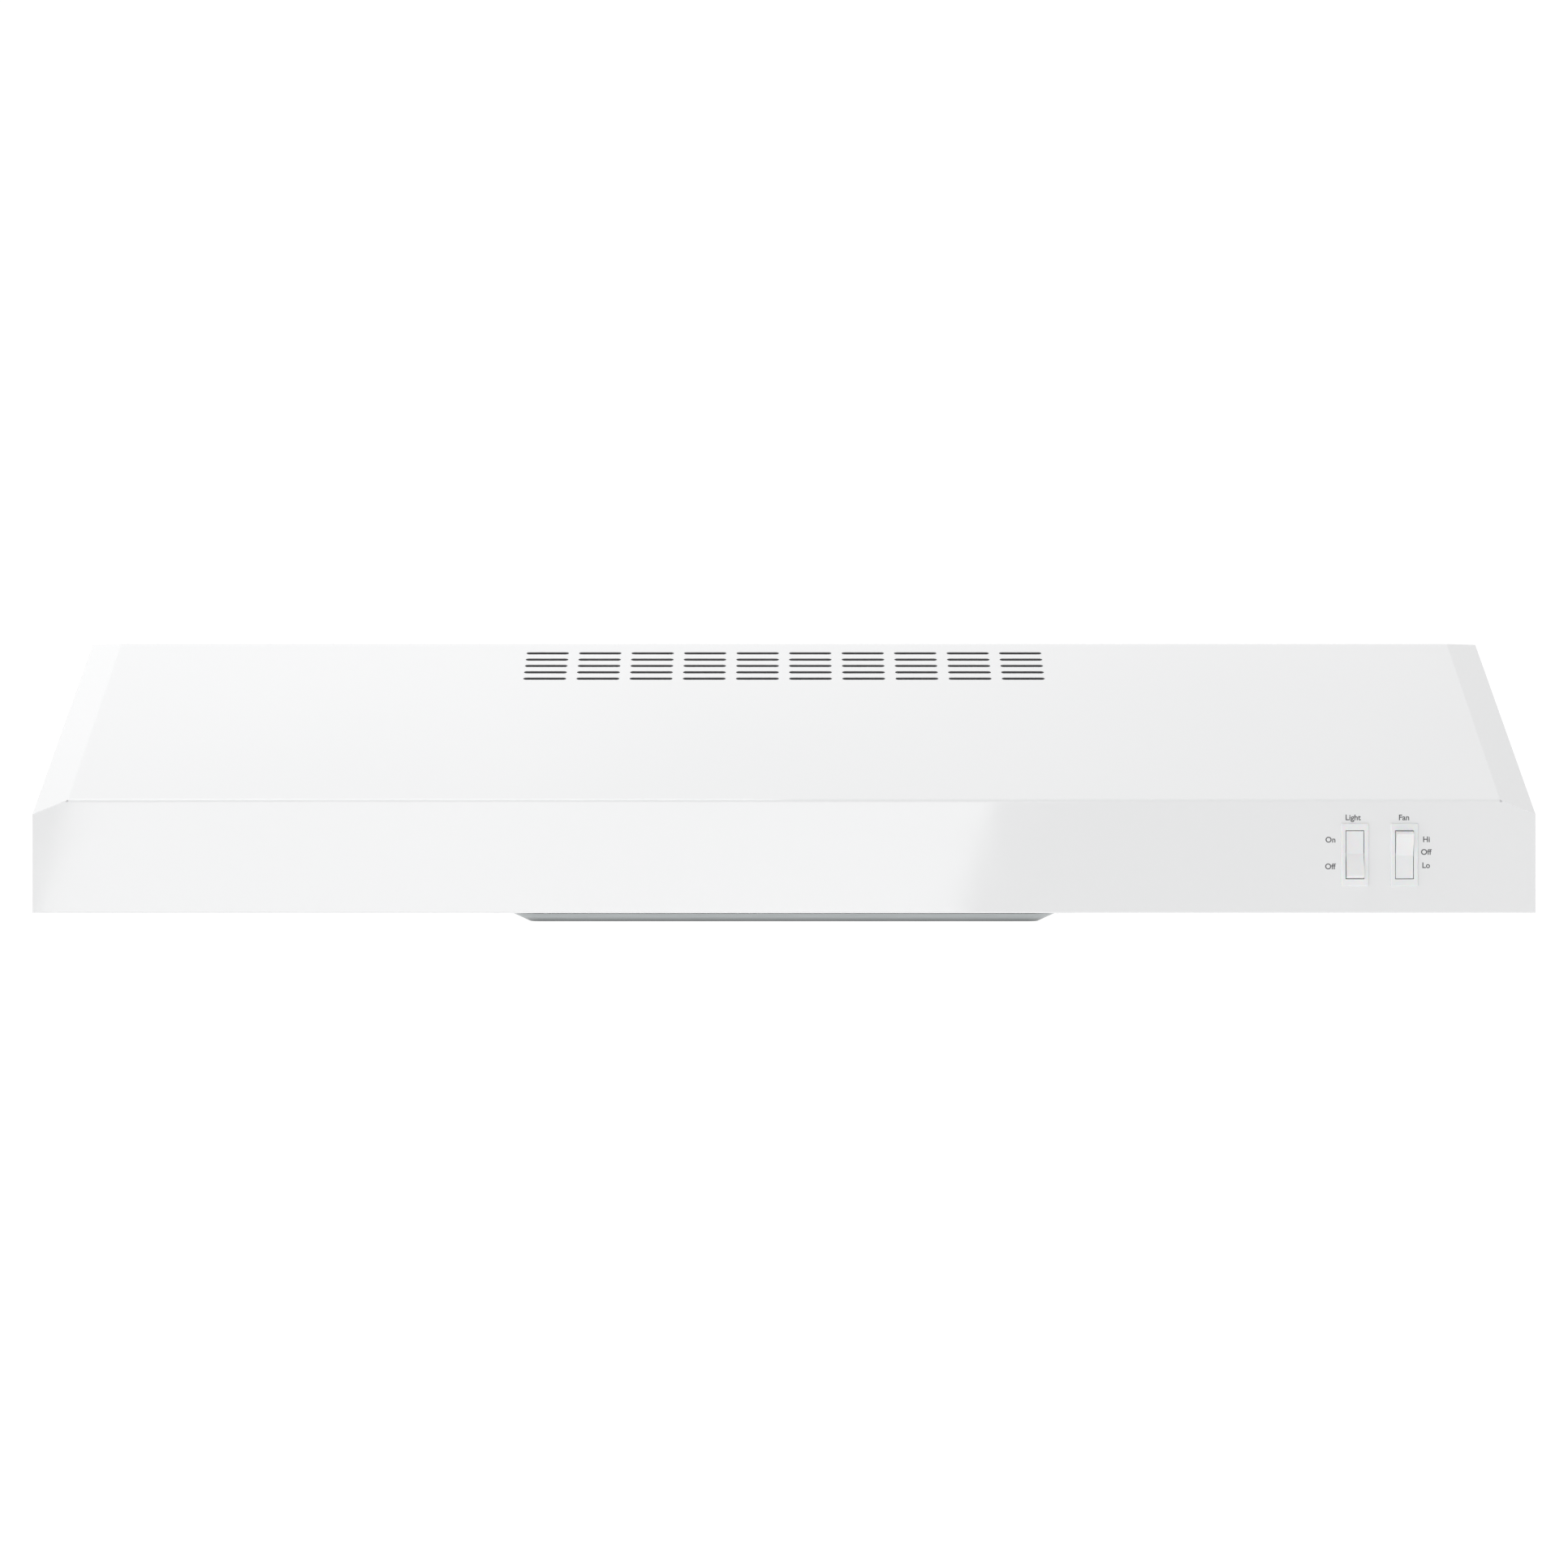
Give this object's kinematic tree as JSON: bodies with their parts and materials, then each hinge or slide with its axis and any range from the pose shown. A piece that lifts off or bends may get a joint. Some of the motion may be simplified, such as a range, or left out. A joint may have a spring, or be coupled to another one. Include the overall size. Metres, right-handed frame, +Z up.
{
  "type": "under cabinet range hood",
  "caption": "White steel under cabinet range hood with sloped vented front, corner bevels, two rocker switches, drop-down filter tray with lens, axial fan, lamp and rear duct collar.",
  "frame": {"origin": "centre of the four cabinet keyholes on the flat top face", "axes": "+Z up, out of the top face that meets the cabinet; -Y towards the cook, +Y into the wall; +X to the right as seen by the cook"},
  "size_m": [0.7588, 0.5445, 0.1522],
  "materials": {
    "white_enamel": "gloss",
    "galvanised_steel": "satin",
    "aluminium_sheet": "satin",
    "aluminium_mesh": "bright",
    "lens_plastic": "frosted",
    "bulb_glass": "frosted",
    "bulb_metal": "bright",
    "porcelain": "glazed",
    "plated_steel": "zinc plated",
    "lamination_steel": "dark laminated",
    "winding": "varnished winding",
    "sintered_bronze": "matt",
    "black_rubber": "matt",
    "grey_foam": "matt",
    "fan_plastic": "moulded",
    "white_plastic": "moulded",
    "nylon": "moulded",
    "brass_blade": "bright",
    "wire_insulation": "extruded",
    "ground_green": "lacquered"
  },
  "bodies": {
    "hood": {"canopy": "white_enamel", "side_panel_left": "white_enamel", "side_panel_right": "white_enamel", "back_panel": "white_enamel", "fan_box_wall_left": "white_enamel", "fan_box_wall_right": "white_enamel", "fan_box_front_baffle": "white_enamel", "filter_rail_rear": "white_enamel", "fan_deck": "galvanised_steel", "lamp_reflector": "aluminium_sheet", "lamp_socket_bracket": "galvanised_steel", "lamp_socket": "porcelain", "lamp_bulb_base": "bulb_metal", "lamp_bulb_glass": "bulb_glass", "lamp_screws": "plated_steel", "motor_bracket": "galvanised_steel", "motor_grommets": "black_rubber", "motor_end_bell_lower": "plated_steel", "motor_end_bell_upper": "plated_steel", "motor_bearing_lower": "sintered_bronze", "motor_bearing_upper": "sintered_bronze", "motor_core": "lamination_steel", "motor_coil": "winding", "motor_screws": "plated_steel", "deck_screws": "plated_steel", "wiring_box": "galvanised_steel", "wiring_box_cover": "galvanised_steel", "wiring_box_screws": "plated_steel", "terminal_block": "nylon", "ground_screw": "ground_green", "light_switch_body": "white_plastic", "fan_switch_body": "white_plastic", "switch_terminals": "brass_blade", "duct_collar": "galvanised_steel", "collar_gasket": "grey_foam", "collar_screws": "plated_steel", "canopy_screws": "plated_steel", "wire_bushings": "nylon", "wire_clips": "nylon", "wires_switches": "wire_insulation", "wires_motor": "wire_insulation", "wires_lamp": "wire_insulation"},
    "fan": {"fan_blade": "fan_plastic", "motor_rotor": "lamination_steel", "motor_shaft": "plated_steel", "motor_washers": "nylon", "fan_hub_clip": "plated_steel"},
    "damper": {"damper_flap": "galvanised_steel", "damper_pivot_pins": "plated_steel"},
    "filter_tray": {"filter_frame": "aluminium_sheet", "filter_mesh": "aluminium_mesh", "light_lens": "lens_plastic", "filter_hinge_rods": "plated_steel", "filter_spring_clips": "plated_steel"},
    "light_rocker_part": {"light_rocker": "white_plastic"},
    "fan_rocker_part": {"fan_rocker": "white_plastic"}
  },
  "joints": [
    {"name": "light_rocker_tilt", "type": "hinge", "parent": "hood", "child": "light_rocker_part", "pos_m": [0.2881, -0.3383, -0.1121], "axis": [1, 0, 0], "range_deg": [0, 20]},
    {"name": "fan_rocker_tilt", "type": "hinge", "parent": "hood", "child": "fan_rocker_part", "pos_m": [0.3131, -0.3383, -0.1121], "axis": [-1, 0, 0], "range_deg": [0, 20]},
    {"name": "fan_spin", "type": "hinge", "parent": "hood", "child": "fan", "pos_m": [0, 0.022, -0.097], "axis": [0, 0, 1], "continuous": true},
    {"name": "filter_tray_swing", "type": "hinge", "parent": "hood", "child": "filter_tray", "pos_m": [0, 0.1545, -0.149], "axis": [1, 0, 0], "range_deg": [0, 75]},
    {"name": "damper_swing", "type": "hinge", "parent": "hood", "child": "damper", "pos_m": [0, 0.174, -0.0155], "axis": [1, 0, 0], "range_deg": [0, 80]}
  ]
}
